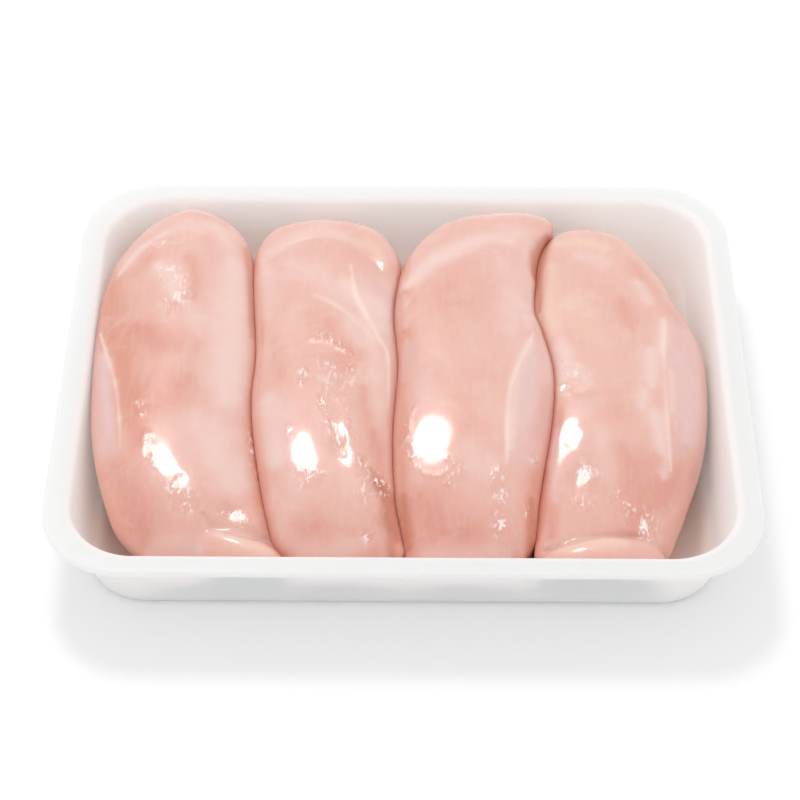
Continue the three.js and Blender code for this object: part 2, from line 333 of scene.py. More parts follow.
# Painted shade: dark red strokes deep in the creases and in the gaps between the fillets' front ends
DEEP_CREASE_SHADE = {
    "fillet_1": (
        (((-65, 68), (-63, 44), (-61, 16)), 1.2, 0.6),
    ),
    "fillet_2": (
        (((-10, -59), (-5, -65), (-3, -76), (-2, -80)), 3.1, 0.9),
        (((-7, -71), (-9, -76)), 2.3, 0.4),
    ),
    "fillet_3": (
        (((0, -64), (1, -76), (2, -83)), 2.3, 0.9),
        (((48, -65), (48, -74), (47, -87)), 1.9, 0.7),
        (((59, 73), (56, 65), (53, 56), (53, 48)), 2.3, 1),
    ),
    "fillet_4": (
        (((60, 72), (58, 66), (55, 49), (54, 29)), 1.5, 1),
        (((54, -51), (52, -70), (50, -79)), 1.9, 0.6),
    ),
}
# Redder flesh, partly painted shade: the strokes along the creases and into the gaps at the front ends
# darken the crease margins
FLUSH_AND_CREASE_SHADE = {
    "fillet_1": (
        (((-121, 49), (-116, 22), (-111, -1), (-105, -24), (-100, -45)), 9.3, 0.95),
        (((-106, 17), (-93, 5), (-82, 6)), 7.7, 0.85),
        (((-102, -21), (-92, -22), (-84, -12)), 7.7, 0.75),
        (((-110, -52), (-103, -68), (-96, -79)), 9.3, 0.75),
        (((-120, 1), (-117, -18), (-115, -37)), 3.1, 0.5),
        (((-89, 55), (-85, 44), (-86, 29)), 3.1, 0.5),
        (((-109, 48), (-104, 58)), 3.9, 0.5),
        (((-88, 58), (-84, 46), (-86, 29)), 3.1, 0.4),
        (((-66, 66), (-63, 37), (-60, -14), (-57, -48), (-51, -78)), 3.1, 0.8),
    ),
    "fillet_2": (
        (((-38, 23), (-23, 7), (-21, -6)), 6.2, 0.6),
        (((-16, -15), (-13, -29), (-10, -46), (-8, -59)), 3.9, 0.8),
        (((-51, 12), (-48, -10)), 3.9, 0.4),
        (((-38, -76), (-25, -84), (-14, -83)), 6.9, 0.6),
        (((-12, -54), (-7, -67), (-3, -89)), 2.3, 1),
        (((-60, 57), (-56, 10)), 1.5, 0.7),
        (((-56, 10), (-56, -30), (-51, -63)), 1.2, 0.4),
        (((-4, 42), (-5, -5), (-6, -34)), 1.2, 0.6),
    ),
    "fillet_3": (
        (((18, 36), (20, 9)), 9.3, 0.4),
        (((54, 67), (52, 50), (50, 26)), 2.7, 0.6),
        (((6, -66), (17, -80), (28, -84)), 9.3, 0.8),
        (((0, 63), (-1, 36), (0, 10), (-1, -15), (-1, -37), (0, -65), (3, -82)), 3.9, 0.9),
        (((20, -22), (25, -36)), 7.7, 0.3),
        (((55, -14), (53, -39), (50, -62), (48, -85)), 4.6, 1),
        (((56, 68), (52, 58), (52, 43)), 1.5, 1),
    ),
    "fillet_4": (
        (((92, 60), (99, 45), (110, 23)), 3.9, 0.5),
        (((87, 34), (90, 17)), 3.9, 0.5),
        (((82, -43), (88, -65), (84, -78)), 7.7, 0.6),
        (((102, -34), (104, -42)), 2.3, 0.6),
        (((72, -20), (83, -29)), 6.9, 0.3),
        (((58, 52), (56, 38), (55, 24)), 1.5, 0.8),
        (((60, -25), (58, -54), (55, -79)), 3.5, 0.8),
        (((96, -34), (100, -47), (96, -64)), 6.9, 0.6),
        (((110, -31), (110, -48)), 3.9, 0.6),
    ),
}
# Crinkled wet skin: real crinkles and bumps, and painted highlights, pale glint flecks laid into its
# colour
SPARKLE = {
    "fillet_1": (
        (((-98, -39), (-96, -47), (-93, -56)), 2.3, 1),
        (((-87, -61), (-83, -68), (-81, -73)), 3.5, 1),
        (((-102, -24), (-100, -31)), 1.9, 0.8),
        (((-82, -67), (-79, -72)), 3.1, 0.9),
        (((-67, -72), (-59, -75)), 3.5, 0.9),
        (((-97, 49), (-91, 37), (-95, 21)), 4.6, 0.8),
        (((-103, 67), (-90, 61)), 2.3, 0.7),
        (((-59, -34), (-55, -57)), 1.2, 0.8),
    ),
    "fillet_2": (
        (((-37, 10), (-31, 10), (-21, 3)), 2.3, 1),
        (((-39, -6), (-40, -14)), 1.9, 0.9),
        (((-34, -1), (-23, -9), (-30, -19)), 5.4, 0.5),
        (((-33, -21), (-28, -35), (-22, -49)), 1.5, 1),
        (((-25, -21), (-21, -25)), 2.7, 0.8),
        (((-22, -33), (-22, -45)), 3.1, 0.5),
        (((-39, -56), (-33, -58), (-37, -62)), 3.5, 0.9),
        (((-18, -49), (-12, -56), (-7, -63), (-4, -78)), 2.7, 1),
        (((-15, -62), (-14, -73), (-13, -82)), 2.7, 1),
        (((-44, -35), (-43, -42)), 1.9, 0.5),
    ),
    "fillet_3": (
        (((35, -55), (36, -68), (37, -84)), 3.1, 1),
        (((35, -57), (37, -76)), 1.9, 1),
        (((16, -50), (21, -56), (16, -61)), 2.7, 0.7),
        (((2, -43), (6, -51)), 1.9, 0.5),
        (((48, -47), (50, -50)), 1.5, 0.5),
        (((4, -25), (2, -32), (2, -41), (4, -50), (8, -56), (14, -57), (19, -53)), 1.5, 0.55),
        (((46, -69), (47, -87)), 1.9, 1),
        (((-2, -70), (0, -81)), 1.9, 1),
    ),
    "fillet_4": (
        (((62, -12), (64, -16)), 1.9, 1),
        (((63, -3), (72, -12)), 3.5, 0.5),
        (((68, -52), (70, -56)), 3.5, 1),
        (((64, -65), (70, -67)), 2.7, 0.8),
        (((81, -63), (88, -70), (90, -78)), 4.6, 1),
    ),
}

LAYERS = {
    "pale": PALE_AND_PAINTED_SHEEN,
    "cream": CREAM,
    "lilac": LILAC,
    "flush": FLUSH_AND_CREASE_SHADE,
    "tendon": TENDON,
    "crinkle_and_glint": SPARKLE,
}

# Where the wet surface lies flat to the light and mirrors it: a centre, half sizes, and a turn
# in degrees
FLATS = {
    "fillet_1": (((-83, -64), (2, 2.5), 0), ((-61, -74), (4, 2.5), -20)),
    "fillet_2": (((-24, -37), (1.6, 6), -5),),
    "fillet_3": (),
    "fillet_4": (
        ((65.6, -37.0), (3.2, 3.4), -4),
        ((68, -56), (2.5, 3.5), -10),
        ((61.5, -13), (1.5, 1.5), 0),
    ),
}
FLAT_REACH = 1.7
FLAT_DOME = 0.03
FLAT_SAMPLE = 2.0

# The edge of the faintly purple facet on a fillet's side, as (y, x), and the side that it is on
FACETS = {
    "fillet_1": (((-58, -104.4), (-46, -106.8), (-24, -112), (-3, -116.7), (22, -121)), -1),
    "fillet_2": (((-14, -3.5), (0, -5.6), (13, -9.7), (33, -15.9), (52, -23)), 1),
    "fillet_3": (((-60, 39), (-30, 39.5), (-11, 41), (3, 46), (19, 52)), 1),
    "fillet_4": (((-52, 101.5), (-33, 101.8), (6, 102), (33, 103)), 1),
}

# The camera that took the photograph, in metres
CAMERA_PLACE = (0.002784, -0.622179, 0.681828)
CAMERA_BACK = (0.004855, -0.681981, 0.731354)
KEY_PLACE = (-0.25, 0.70, 1.40)
CAMERA_LENS = 103.02
SENSOR_WIDTH = 36.0


def along(points, at):
    """The value at each place of a smooth curve through (place, value) points."""
    place, value = np.array(points, float).T
    count = len(place)
    before = np.maximum(np.arange(count) - 1, 0)
    after = np.minimum(np.arange(count) + 1, count - 1)
    slope = (value[after] - value[before]) / (place[after] - place[before])
    at = np.clip(at, place[0], place[-1])
    i = np.clip(np.searchsorted(place, at, side="right") - 1, 0, count - 2)
    width = place[i + 1] - place[i]
    t = (at - place[i]) / width
    return (
        (2 * t**3 - 3 * t**2 + 1) * value[i]
        + (t**3 - 2 * t**2 + t) * width * slope[i]
        + (3 * t**2 - 2 * t**3) * value[i + 1]
        + (t**3 - t**2) * width * slope[i + 1]
    )


def smoothstep(value):
    """A smooth step from 0 to 1."""
    value = np.clip(value, 0, 1)
    return value * value * (3 - 2 * value)


def lattice_noise(points, size, seed):
    """Smooth noise from -1 to 1 at points, with bumps about as large as size."""
    x, y, z = points.T
    turned = np.stack([0.8 * x + 0.6 * y, 0.8 * y - 0.6 * x, z], axis=1)
    scaled = turned / size + 100.0
    cell = np.floor(scaled).astype(np.int64)
    part = scaled - cell
    part = part**3 * (part * (6 * part - 15) + 10)
    total = np.zeros(len(points))
    for corner in range(8):
        step = np.array([corner & 1, (corner >> 1) & 1, corner >> 2])
        at = cell + step
        key = at[:, 0] * 73856093 ^ at[:, 1] * 19349663 ^ at[:, 2] * 83492791 ^ seed * 2654435761
        key = (key ^ (key >> 13)) * 1274126177 & 0x7FFFFFFF
        value = (key ^ (key >> 16)) % 65536 / 32767.5 - 1
        weight = np.where(step == 1, part, 1 - part).prod(axis=1)
        total += value * weight
    return total


def stroke_profile(line, half, x, y):
    """How near points x, y are to a line: a bell from 0 to 1 that thins out at its ends."""
    line = np.array(line, float)
    run = np.concatenate([[0], np.cumsum(np.hypot(*np.diff(line, axis=0).T))])
    count = max(4, int(run[-1] / 0.8))
    fine = np.linspace(0, run[-1], count)
    path_x = along(np.stack([run, line[:, 0]], axis=1), fine)
    path_y = along(np.stack([run, line[:, 1]], axis=1), fine)
    best = np.full(len(x), np.inf)
    for px, py, share in zip(path_x, path_y, fine / run[-1]):
        taper = half * (0.45 + 0.55 * min(1, 4 * min(share, 1 - share) + 0.2))
        best = np.minimum(best, ((x - px) ** 2 + (y - py) ** 2) / taper**2)
    return np.exp(-best)


def painted(strokes, x, y):
    """How strongly strokes cover points x, y, from 0 to 1."""
    bare = np.ones(len(x))
    for line, half, strength in strokes:
        bare *= 1 - strength * stroke_profile(line, half, x, y)
    return 1 - bare


def raised(strokes, x, y):
    """How far strokes raise or sink the surface at points x, y."""
    return sum(rise * stroke_profile(line, half, x, y) for line, half, rise in strokes)


def tray_outline(inset):
    """Half sizes and corner radius of the tray's outline at an inset from the rim's."""
    radius = RIM_RADIUS - inset * (RIM_RADIUS - BASE_RADIUS) / BASE_INSET
    return TRAY_HALF[0] - inset, TRAY_HALF[1] - inset, radius


def inner_inset(z):
    """The inner wall's inset at height z: a line that starts where the rim's rounding ends."""
    top_inset = RIM_FLAT + RIM_INNER_RADIUS * math.cos(LEAN)
    top_height = TRAY_HEIGHT - RIM_INNER_RADIUS * (1 - math.sin(LEAN))
    return top_inset + (top_height - z) * math.tan(LEAN)


def pressed_by_tray(points, gap):
    """Moves points that are in or beyond the tray's wall to just inside it."""
    x, y, z = points.T
    floor_centre = WALL + FLOOR_RADIUS
    inset = inner_inset(np.minimum(z, TRAY_HEIGHT)) + gap
    depth = np.clip(floor_centre - z, 0, FLOOR_RADIUS)
    reach = FLOOR_RADIUS / math.cos(LEAN) - np.sqrt(FLOOR_RADIUS**2 - depth**2)
    curved = np.maximum(inset, inner_inset(floor_centre) + reach + gap)
    inset = np.where(z < floor_centre, curved, inset)
    half_x, half_y, radius = tray_outline(inset)
    corner_x = np.maximum(np.abs(x) - (half_x - radius), 0)
    corner_y = np.maximum(np.abs(y) - (half_y - radius), 0)
    out = np.hypot(corner_x, corner_y)
    keep = np.where(out > radius, radius / np.maximum(out, 1e-9), 1)
    x = np.where(corner_x > 0, np.sign(x) * (half_x - radius + corner_x * keep), x)
    y = np.where(corner_y > 0, np.sign(y) * (half_y - radius + corner_y * keep), y)
    return np.stack([x, y, z], axis=1)


def clear_selection():
    """Deselects everything, in object mode."""
    if bpy.context.object and bpy.context.object.mode != "OBJECT":
        bpy.ops.object.mode_set(mode="OBJECT")
    bpy.ops.object.select_all(action="DESELECT")


def select_only(*pieces):
    """Selects nothing but some pieces and makes the last one active."""
    clear_selection()
    for piece in pieces:
        piece.select_set(True)
    bpy.context.view_layer.objects.active = pieces[-1]


def vertex_places(mesh):
    """A mesh's vertex places, in millimetres."""
    flat = np.empty(len(mesh.vertices) * 3)
    mesh.vertices.foreach_get("co", flat)
    return flat.reshape(-1, 3) / MM


def vertex_normals(mesh):
    """A mesh's vertex normals."""
    flat = np.empty(len(mesh.vertices) * 3)
    mesh.vertex_normals.foreach_get("vector", flat)
    return flat.reshape(-1, 3)


def place_vertices(mesh, places):
    """Moves a mesh's vertices to places in millimetres."""
    mesh.vertices.foreach_set("co", (places * MM).ravel())
    mesh.update()


def apply_modifier(piece, kind, **settings):
    """Adds a modifier to a piece and applies it."""
    modifier = piece.modifiers.new(kind.title(), kind)
    for name, value in settings.items():
        setattr(modifier, name, value)
    bpy.context.view_layer.objects.active = piece
    bpy.ops.object.modifier_apply(modifier=modifier.name)


class Value:
    """A number that runs through a material's nodes, with arithmetic that adds Math nodes."""

    def __init__(self, recipe, socket):
        self.recipe = recipe
        self.socket = socket

    def math(self, operation, *values):
        return self.recipe.add("ShaderNodeMath", {"operation": operation}, dict(enumerate(values)))

    def __add__(self, other):
        return self.math("ADD", self, other)

    __radd__ = __add__

    def __sub__(self, other):
        return self.math("SUBTRACT", self, other)

    def __rsub__(self, other):
        return self.math("SUBTRACT", other, self)

    def __mul__(self, other):
        return self.math("MULTIPLY", self, other)

    __rmul__ = __mul__

    def clamped(self):
        return self.math("MINIMUM", self.math("MAXIMUM", self, 0.0), 1.0)


class Recipe:
    """A material and its nodes."""

    def __init__(self, name):
        self.material = bpy.data.materials.new(name)
        self.material.use_nodes = True
        self.tree = self.material.node_tree
        self.tree.nodes.clear()

    def add(self, kind, settings=None, sockets=None, output=0):
        """Adds a node: its type, its settings, its sockets' values or links, and its output."""
        node = self.tree.nodes.new(kind)
        for name, value in (settings or {}).items():
            setattr(node, name, value)
        for name, value in (sockets or {}).items():
            if isinstance(value, Value):
                self.tree.links.new(value.socket, node.inputs[name])
            else:
                node.inputs[name].default_value = value
        return Value(self, node.outputs[output]) if node.outputs else node

    def position(self, scale=(1, 1, 1), turn=(0, 0, 0)):
        """Object coordinates, stretched and turned."""
        coordinates = self.add("ShaderNodeTexCoord", output="Object")
        return self.add(
            "ShaderNodeMapping", None, {"Vector": coordinates, "Scale": scale, "Rotation": turn}
        )

    def noise(self, vector, scale, detail=3.0, roughness=0.55, distortion=0.0):
        """Noise from 0 to 1."""
        return self.add(
            "ShaderNodeTexNoise",
            None,
            {
                "Vector": vector,
                "Scale": scale,
                "Detail": detail,
                "Roughness": roughness,
                "Distortion": distortion,
            },
        )

    def attribute(self, name):
        """A number stored on the mesh."""
        return self.add("ShaderNodeAttribute", {"attribute_name": name}, output="Fac")

    def mix(self, factor, first, second):
        """A colour between two."""
        return self.add(
            "ShaderNodeMix",
            {"data_type": "RGBA"},
            {"Factor": factor, 6: first, 7: second},
            output=2,
        )

    def step(self, value, low, high):
        """A smooth step of a value between two limits, from 0 to 1."""
        return self.add(
            "ShaderNodeMapRange",
            {"interpolation_type": "SMOOTHSTEP"},
            {"Value": value, "From Min": low, "From Max": high},
        )

    def finish(self, settings):
        """Adds the surface shader and the output."""
        shader = self.add("ShaderNodeBsdfPrincipled", None, settings)
        self.add("ShaderNodeOutputMaterial", None, {"Surface": shader})
        return self.material


def colour(value):
    """A colour property with full opacity."""
    return (*value, 1.0)


def foam_material(props):
    """Smooth expanded foam: white, satin, with faint cells and flow marks, and painted light and shade
    on its walls.
    """
    recipe = Recipe("tray_foam")
    place = recipe.position()
    cells = recipe.add(
        "ShaderNodeTexVoronoi",
        {"feature": "SMOOTH_F1"},
        {"Vector": place, "Scale": 900.0, "Smoothness": 0.6, "Randomness": 1.0},
    )
    drift = recipe.noise(place, 22.0, detail=2.0)
    inside = recipe.attribute("inside")
    tint = recipe.mix(drift, colour(props.foam), colour(props.foam_shade))
    # Painted light: the outside of the wall and the rim's underside are lighter than the rim's foam
    tint = recipe.mix((0.0 - inside).clamped(), tint, colour(props.outer_wall_painted_light))
    # Painted light: the inner wall is lighter than the rim's foam, making up for the shade inside the
    # tray, and its pink is partly a meat-juice tint and partly painted light thrown back from the meat
    tint = recipe.mix(recipe.step(inside, 0.0, 0.5), tint, colour(props.wall))
    # Painted shade: the inner wall turns darker pink low down, most on the left side, which faces away
    # from the key light
    across = recipe.add("ShaderNodeSeparateXYZ", None, {"Vector": place}, output="X")
    low_wall_shade = recipe.step(inside, 0.4, 1.0) * (0.9 - 0.6 * recipe.step(across, -0.08, 0.04))
    tint = recipe.mix(low_wall_shade, tint, colour(props.low_wall_painted_shade))
    # The floor inside the tray is pink-brown
    tint = recipe.mix((inside - 1.0).clamped(), tint, colour(props.pink_inner_floor))
    bump = recipe.add(
        "ShaderNodeBump",
        None,
        {"Strength": 0.12, "Distance": 0.0004, "Height": cells + 2.0 * drift},
        output="Normal",
    )
    return recipe.finish(
        {
            "Base Color": tint,
            "Roughness": 0.42 + 0.12 * drift,
            "Specular IOR Level": 0.35,
            "Subsurface Weight": 1.0,
            "Subsurface Radius": (0.011, 0.0105, 0.010),
            "Subsurface Scale": 1.0,
            "Normal": bump,
        }
    )


def meat_material(props):
    """Wet raw chicken: pale pink flesh, redder and creamier places, white tendons, gloss, with painted
    shade in the creases, painted glints and a painted sheen.
    """
    recipe = Recipe("raw_chicken")
    place = recipe.position()
    fibre_place = recipe.position(scale=(1.0, 0.16, 1.0), turn=(0, 0, math.radians(-12)))
    hollow = recipe.attribute("hollow")
    broad = recipe.noise(place, 30.0, detail=3.0, distortion=0.6)
    mottle = recipe.noise(place, 75.0, detail=3.0, roughness=0.5, distortion=0.8)
    fibres = recipe.noise(fibre_place, 520.0, detail=3.0)

    def cover(name, ragged=0.6):
        """How much of a painted layer shows, with an uneven edge."""
        layer = recipe.attribute(name)
        uneven = (broad + mottle - 1.0) * ragged
        return (layer + layer * (1.0 - layer) * uneven * 4.0).clamped()

    flesh = recipe.mix(recipe.step(broad, 0.35, 0.7), colour(props.flesh), colour(props.flesh_rose))
    # Redder flesh, partly painted shade along the creases
    flesh = recipe.mix(cover("flush"), flesh, colour(props.flesh_flush_and_shade))
    flesh = recipe.mix(cover("lilac"), flesh, colour(props.facet))
    flesh = recipe.mix(recipe.attribute("facet") * (0.1 + 0.7 * broad), flesh, colour(props.facet))
    flesh = recipe.mix(cover("cream"), flesh, colour(props.cream))
    # Pale membrane, partly painted light: a painted sheen and light thrown back onto the front ends
    flesh = recipe.mix(cover("pale"), flesh, colour(props.membrane_and_sheen))
    flesh = recipe.mix(recipe.step(mottle, 0.5, 0.75) * 0.3, flesh, colour(props.membrane_and_sheen))
    flesh = recipe.mix(recipe.step(fibres, 0.4, 0.8) * 0.12, flesh, colour(props.tendon))
    # Painted shade: the flesh turns darker red beside the creases and low between the fillets, where
    # shade falls
    flesh = recipe.mix(hollow * 0.8, flesh, colour(props.flesh_hollow_shade))
    # Painted shade: darkest red deep in the creases and gaps
    flesh = recipe.mix(recipe.attribute("deep") * 0.85, flesh, colour(props.deep_crease_shade))
    flesh = recipe.mix(cover("tendon", 1.0) * (0.4 + 0.6 * broad), flesh, colour(props.tendon))
    film = recipe.noise(place, 260.0, detail=4.0)
    streak_place = recipe.position(scale=(1.0, 0.4, 1.0), turn=(0, 0, math.radians(18)))
    streaks = recipe.noise(streak_place, 600.0, detail=2.0, roughness=0.55, distortion=0.8)
    ripples = recipe.noise(place, 110.0, detail=1.0)
    crinkle_and_glint = recipe.attribute("crinkle_and_glint")
    # Painted highlight: pale flecks on the crinkled skin stand in for glints of the key light
    painted_glint = crinkle_and_glint * recipe.step(streaks, 0.53, 0.61)
    flesh = recipe.mix(painted_glint * recipe.step(mottle, 0.4, 0.55) * 0.9, flesh, colour(props.painted_glint))
    skin = recipe.add(
        "ShaderNodeBump",
        None,
        {"Strength": 0.4, "Distance": 0.0004, "Height": ripples},
        output="Normal",
    )
    bump = recipe.add(
        "ShaderNodeBump",
        None,
        {"Strength": 1.0, "Distance": 0.0005, "Height": crinkle_and_glint * streaks, "Normal": skin},
        output="Normal",
    )
    return recipe.finish(
        {
            "Base Color": flesh,
            "Roughness": 0.3 + 0.06 * recipe.step(film, 0.4, 0.75) - 0.2 * crinkle_and_glint,
            "Specular IOR Level": 0.45,
            "Subsurface Weight": 0.6,
            "Subsurface Radius": (0.007, 0.003, 0.002),
            "Subsurface Scale": 1.0,
            "Coat Weight": (1.0 - 0.4 * crinkle_and_glint - 0.8 * hollow).clamped(),
            "Coat Roughness": 0.09,
            "Coat IOR": 1.45,
            "Normal": bump,
        }
    )


def rim_point(index, inset):
    """A point of the tray's outline, counterclockwise: corners as arcs, sides in even steps."""
    half_x, half_y, radius = tray_outline(inset)
    corner, step = divmod(index, CORNER_STEPS + SIDE_STEPS)
    signs = ((1, 1), (-1, 1), (-1, -1), (1, -1))
    centres = [(sx * (half_x - radius), sy * (half_y - radius)) for sx, sy in signs]
    angle = (corner + min(step / CORNER_STEPS, 1)) * math.pi / 2
    share = max(step - CORNER_STEPS, 0) / SIDE_STEPS
    out = (radius * math.cos(angle), radius * math.sin(angle))
    following = centres[(corner + 1) % 4]
    return tuple(a + (b - a) * share + o for a, b, o in zip(centres[corner], following, out))


def arc(centre, radius, start, end, steps):
    """Points (inset, z) of an arc, in degrees, both ends included."""
    angles = np.radians(np.linspace(start, end, steps + 1))
    return [(centre[0] + radius * math.cos(a), centre[1] + radius * math.sin(a)) for a in angles]


def tray_section(props):
    """The tray's section from its underside, round the rim, to its floor, as (inset, z, depth).

    The depth is -1 on the wall outside, 0 on the rim, and 2 on the floor inside.
    """
    lean = math.degrees(LEAN)
    wall_shift = WALL / math.cos(LEAN)
    edge = props.rim_edge / MM
    foot_radius = props.foot_radius / MM
    under = TRAY_HEIGHT - props.rim_thickness / MM
    foot_inset = inner_inset(foot_radius) - wall_shift + foot_radius / math.cos(LEAN)
    floor_centre = WALL + FLOOR_RADIUS
    floor_inset = inner_inset(floor_centre) + FLOOR_RADIUS / math.cos(LEAN)
    foot = arc((foot_inset, foot_radius), foot_radius, 270, 180 + lean, 8)
    corner = [
        (inner_inset(under - RIM_CHAMFER) - wall_shift, under - RIM_CHAMFER),
        (inner_inset(under) - wall_shift - RIM_CHAMFER, under),
    ]
    rim = [
        *arc((edge, under + edge), edge, 270, 180, 5),
        *arc((edge, TRAY_HEIGHT - edge), edge, 180, 90, 5),
    ]
    lip = arc((RIM_FLAT, TRAY_HEIGHT - RIM_INNER_RADIUS), RIM_INNER_RADIUS, 90, lean, 8)
    floor = arc((floor_inset, floor_centre), FLOOR_RADIUS, 180 + lean, 270, 10)
    parts = ((foot, -1, -1), (corner, -1, -1), (rim, 0, 0), (lip, 0, 0.5), (floor, 1, 2))
    return [
        (*point, start + (end - start) * index / (len(part) - 1))
        for part, start, end in parts
        for index, point in enumerate(part)
    ]


def lay_ring(mesh, inset, z, depth):
    """Lays the selected ring of vertices on the tray's outline at an inset and a height."""
    bm = bmesh.from_edit_mesh(mesh)
    order = bm.verts.layers.int["order"]
    inside = bm.verts.layers.float["inside"]
    for vert in bm.verts:
        if vert.select:
            x, y = rim_point(vert[order], inset)
            vert.co = Vector((x, y, z)) * MM
            vert[inside] = depth
    bmesh.update_edit_mesh(mesh)


def model_tray(props):
    """Models the tray: one outline extruded ring by ring round the section, then filled."""
    clear_selection()
    count = 4 * (CORNER_STEPS + SIDE_STEPS)
    bpy.ops.mesh.primitive_circle_add(vertices=count, radius=TRAY_HALF[1] * MM, fill_type="NGON")
    piece = bpy.context.object
    piece.name = "foam_tray"
    mesh = piece.data
    order = mesh.attributes.new("order", "INT", "POINT")
    order.data.foreach_set("value", np.arange(count))
    mesh.attributes.new("inside", "FLOAT", "POINT")
    bpy.ops.object.mode_set(mode="EDIT")
    bpy.ops.mesh.select_all(action="SELECT")
    section = tray_section(props)
    lay_ring(mesh, *section[0])
    for point in section[1:]:
        bpy.ops.mesh.extrude_region_move()
        lay_ring(mesh, *point)
    bpy.ops.mesh.select_all(action="SELECT")
    bpy.ops.mesh.normals_make_consistent(inside=False)
    bpy.ops.object.mode_set(mode="OBJECT")
    mesh.attributes.remove(mesh.attributes["order"])
    bpy.ops.object.shade_smooth_by_angle(angle=SMOOTH_ANGLE)
    return piece


def rounded(distance, length):
    """How much of a size is left at a distance from an end that rounds over some length."""
    share = np.maximum(1 - distance / length, 0)
    return (1 - share**END_POWER) ** (1 / END_POWER)


def between_ends(line, y, fade):
    """A smooth step from 0 at the ends of a line of (y, x) to 1 further in."""
    return smoothstep(np.minimum(y - line[0][0], line[-1][0] - y) / fade)


def broad_relief(ridges, x, y):
    """How far the broad ridges raise a fillet's top at x, y."""
    total = np.zeros(len(x))
    for line, rise, half in ridges:
        across = (x - along(line, y)) / half
        total += rise * between_ends(line, y, RIDGE_FADE) * np.exp(-(across**2))
    return total


def body_places(fillet, ball):
    """A fillet's surface from the vertices of a unit ball whose poles become its tips."""
    (front, front_lengths), (back, back_lengths) = fillet["front"], fillet["back"]
    middle = (front[1] + back[1]) / 2
    y = middle + (back[1] - front[1]) / 2 * ball[:, 2]
    angle = np.arctan2(-ball[:, 1], ball[:, 0])
    c, s = np.cos(angle), np.sin(angle)
    at_back = y >= middle
    tip = np.where(at_back[:, None], back, front)
    lengths = np.where(at_back[:, None], back_lengths, front_lengths)
    distance = np.abs(tip[:, 1] - y)
    height = along(fillet["height"], y)

    def grow(start, end, kind):
        return start + (end - start) * rounded(distance, lengths[:, kind])

    left = grow(tip[:, 0], along(fillet["sides"][0], y) + GAP, 0)
    right = grow(tip[:, 0], along(fillet["sides"][1], y) - GAP, 1)
    top = grow(tip[:, 2], height, 2)
    bottom = grow(tip[:, 2], WALL + GAP, 2)
    flank_share, flank_power = fillet.get("right_flank", (WIDEST_SHARE, SHOULDER_POWER))
    waist = grow(tip[:, 2], np.where(c > 0, flank_share, WIDEST_SHARE) * height, 2)
    crest = left + (right - left) * along(fillet["crest"], y)
    power = np.where(s > 0, np.where(c > 0, flank_power, SHOULDER_POWER), UNDERSIDE_POWER)
    reach = (np.abs(c) ** power + np.abs(s) ** power) ** (-1 / power)
    lean = np.tanh(c / CREST_BLEND) / math.tanh(1 / CREST_BLEND)
    x = crest + reach * c * ((right - left) / 2 + ((right + left) / 2 - crest) * lean)
    z = waist + reach * s * np.where(s > 0, top - waist, waist - bottom)
    z += np.maximum(s, 0) * (broad_relief(fillet["ridges"], x, y) - fillet["crown"] * (reach * c) ** 2)
    return pressed_by_tray(np.stack([x, y, z], axis=1), WALL_GAP)


def tail_places(fillet, ball):
    """The lobe of a folded tail, from the vertices of a unit ball."""
    centre, half, turn = fillet["tail"]
    turn = math.radians(turn)
    lobe = ball * half
    x = lobe[:, 0] * math.cos(turn) - lobe[:, 1] * math.sin(turn) + centre[0]
    y = lobe[:, 0] * math.sin(turn) + lobe[:, 1] * math.cos(turn) + centre[1]
    x, y, z = pressed_by_tray(np.stack([x, y, lobe[:, 2] + centre[2]], axis=1), GAP).T
    low = along(fillet["sides"][0], y) + GAP + TAIL_STEP
    high = along(fillet["sides"][1], y) - GAP - TAIL_STEP
    return np.stack([np.clip(x, low, high), y, z], axis=1)


def add_ball(segments, rings):
    """Adds a unit ball and returns it with its vertices' places."""
    clear_selection()
    bpy.ops.mesh.primitive_uv_sphere_add(segments=segments, ring_count=rings, radius=1.0)
    ball = bpy.context.object
    return ball, vertex_places(ball.data) * MM


def mirror_slopes(x, y):
    """The slopes along x and y of a flat that mirrors the key light into the camera."""
    place = np.array([x, y, TRAY_HEIGHT]) * MM
    ways = [np.array(end) - place for end in (KEY_PLACE, CAMERA_PLACE)]
    facing = sum(way / np.linalg.norm(way) for way in ways)
    return -facing[0] / facing[2], -facing[1] / facing[2]


def lay_flat(flats, places, upper):
    """Eases the surface onto small, slightly domed flats that face the light."""
    x, y, z = places.T.copy()
    for (cx, cy), (half_u, half_v), turn in flats:
        turn = math.radians(turn)
        u = ((x - cx) * math.cos(turn) + (y - cy) * math.sin(turn)) / half_u
        v = ((y - cy) * math.cos(turn) - (x - cx) * math.sin(turn)) / half_v
        near = (np.hypot(x - cx, y - cy) < FLAT_SAMPLE) & (upper > 0.5)
        slope_x, slope_y = mirror_slopes(cx, cy)
        dome = (half_u * u**2 + half_v * v**2) * FLAT_DOME
        flat = z[near].mean() + slope_x * (x - cx) + slope_y * (y - cy) - dome
        share = np.exp(-(((u**2 + v**2) / FLAT_REACH**2) ** 2)) * upper
        z = z + (flat - z) * share
    return np.stack([x, y, z], axis=1)


def facing_up(normals):
    """How far normals face up, from 0 on an overhang to 1 on the top."""
    return smoothstep(normals[:, 2] / 0.5 + 0.3)


